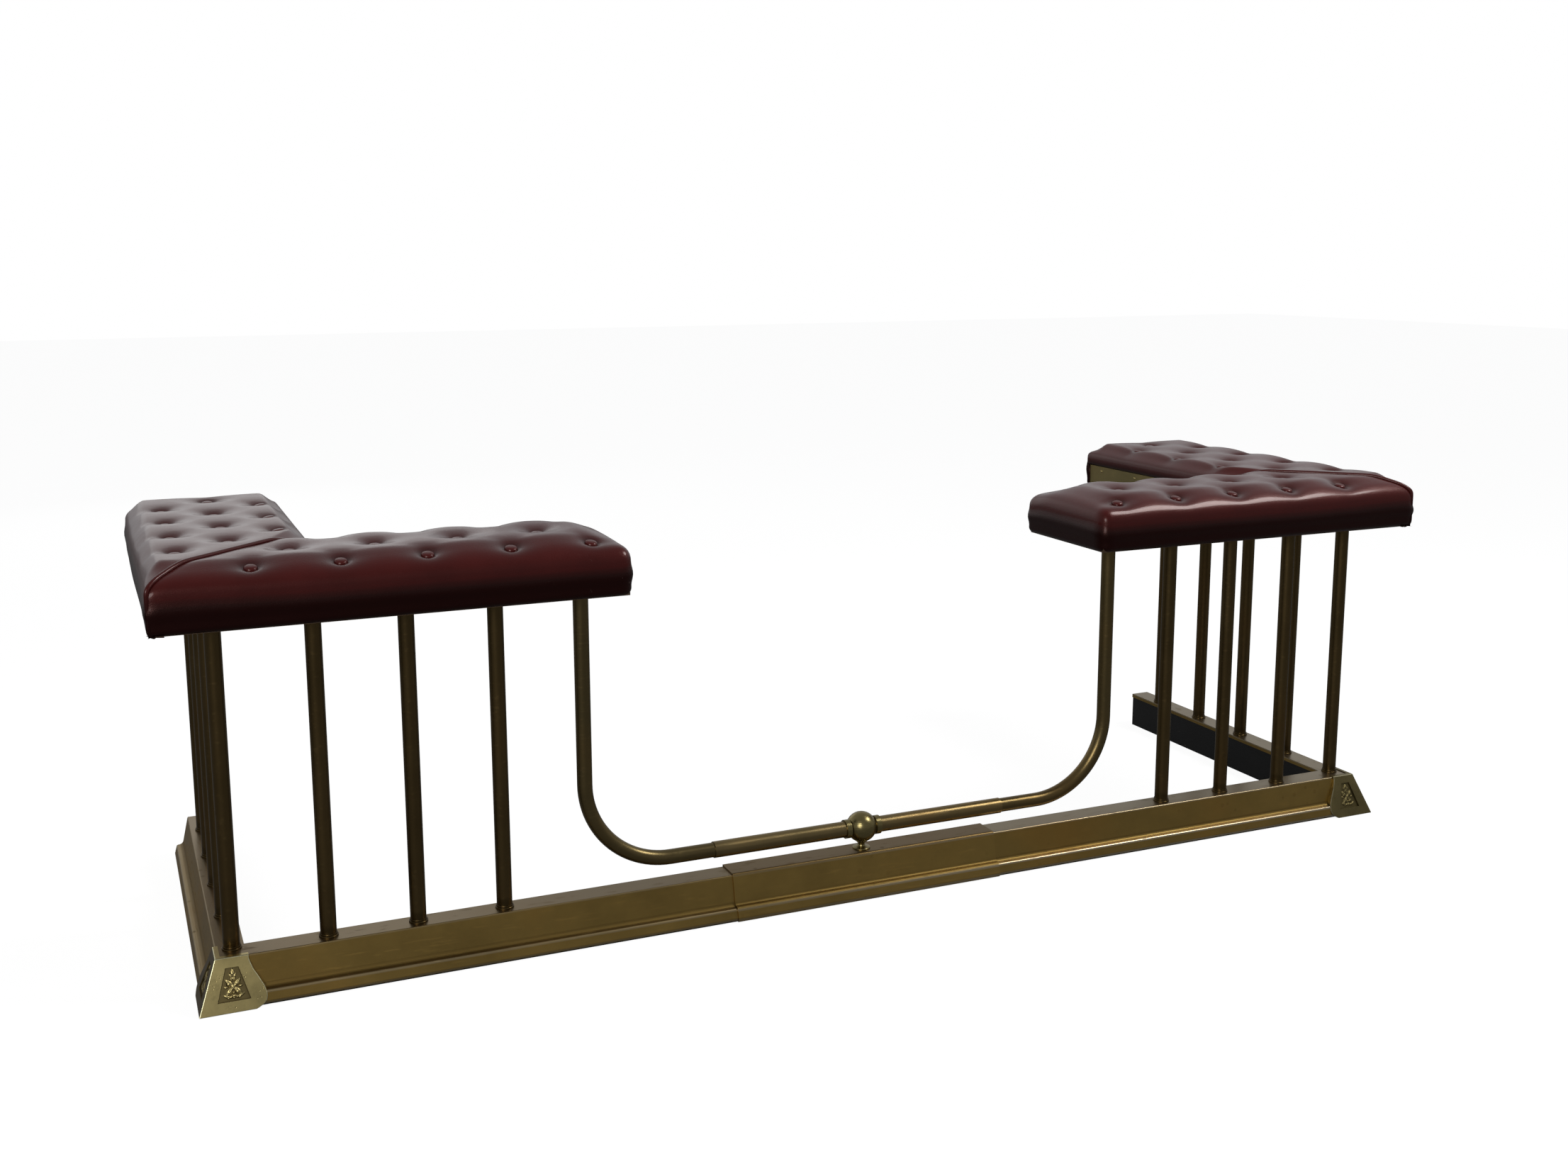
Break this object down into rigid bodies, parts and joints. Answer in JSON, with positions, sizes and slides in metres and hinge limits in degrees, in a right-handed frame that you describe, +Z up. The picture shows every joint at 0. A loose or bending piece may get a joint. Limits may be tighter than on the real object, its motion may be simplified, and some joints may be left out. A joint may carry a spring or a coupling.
{
  "type": "fire fender",
  "caption": "Extending fire fender with a moulded brass kerb, brass tubes, a dropped centre rail with a ball, and buttoned leather corner seats.",
  "frame": {"origin": "on the floor, at the middle of the plan", "axes": "+X along the front rail, +Y towards the fireplace wall, +Z up"},
  "size_m": [1.748, 0.555, 0.5225],
  "materials": {
    "brass_kerb": "aged, satin",
    "brass_tube": "dark lacquered, semi-gloss",
    "brass_rail": "aged, polished along the top",
    "brass_bright": "cast, polished",
    "brass_guard": "sheet, satin",
    "steel_black": "black paint",
    "steel": "plain",
    "seat_wood": "raw plywood",
    "leather": "oxblood hide, waxed gloss",
    "leather_trim": "oxblood hide, waxed gloss"
  },
  "bodies": {
    "centre": {"centre_kerb_sleeve": "brass_kerb", "centre_rail_sleeve": "brass_rail", "rail_ball": "brass_bright", "ball_nut": "steel"},
    "left_half": {"left_front_kerb": "brass_kerb", "left_return_kerb": "brass_kerb", "left_front_channel": "steel_black", "left_return_channel": "steel_black", "left_corner_casting": "brass_bright", "left_casting_screws": "steel", "left_corner_tube": "brass_tube", "left_front_tube_1": "brass_tube", "left_front_tube_2": "brass_tube", "left_front_tube_3": "brass_tube", "left_return_tube_1": "brass_tube", "left_return_tube_2": "brass_tube", "left_return_tube_3": "brass_tube", "left_return_tube_4": "brass_tube", "left_tube_collars": "brass_tube", "left_tie_rods": "steel", "left_rod_nuts": "steel", "left_rail_bend": "brass_tube", "left_seat_plate": "steel_black", "left_seat_board": "seat_wood", "left_seat_border": "leather", "left_front_cushion": "leather", "left_return_cushion": "leather", "left_seat_piping": "leather_trim", "left_seat_buttons": "leather_trim", "left_guard_strip": "brass_guard", "left_guard_pins": "brass_guard", "left_seat_screws": "steel"},
    "right_half": {"right_front_kerb": "brass_kerb", "right_return_kerb": "brass_kerb", "right_front_channel": "steel_black", "right_return_channel": "steel_black", "right_corner_casting": "brass_bright", "right_casting_screws": "steel", "right_corner_tube": "brass_tube", "right_front_tube_1": "brass_tube", "right_front_tube_2": "brass_tube", "right_front_tube_3": "brass_tube", "right_return_tube_1": "brass_tube", "right_return_tube_2": "brass_tube", "right_return_tube_3": "brass_tube", "right_return_tube_4": "brass_tube", "right_tube_collars": "brass_tube", "right_tie_rods": "steel", "right_rod_nuts": "steel", "right_rail_bend": "brass_tube", "right_seat_plate": "steel_black", "right_seat_board": "seat_wood", "right_seat_border": "leather", "right_front_cushion": "leather", "right_return_cushion": "leather", "right_seat_piping": "leather_trim", "right_seat_buttons": "leather_trim", "right_guard_strip": "brass_guard", "right_guard_pins": "brass_guard", "right_seat_screws": "steel"}
  },
  "joints": [
    {"name": "left_slide", "type": "slide", "parent": "centre", "child": "left_half", "axis": [-1, 0, 0], "range_m": [0, 0.12]},
    {"name": "right_slide", "type": "slide", "parent": "centre", "child": "right_half", "axis": [1, 0, 0], "range_m": [0, 0.12]}
  ]
}
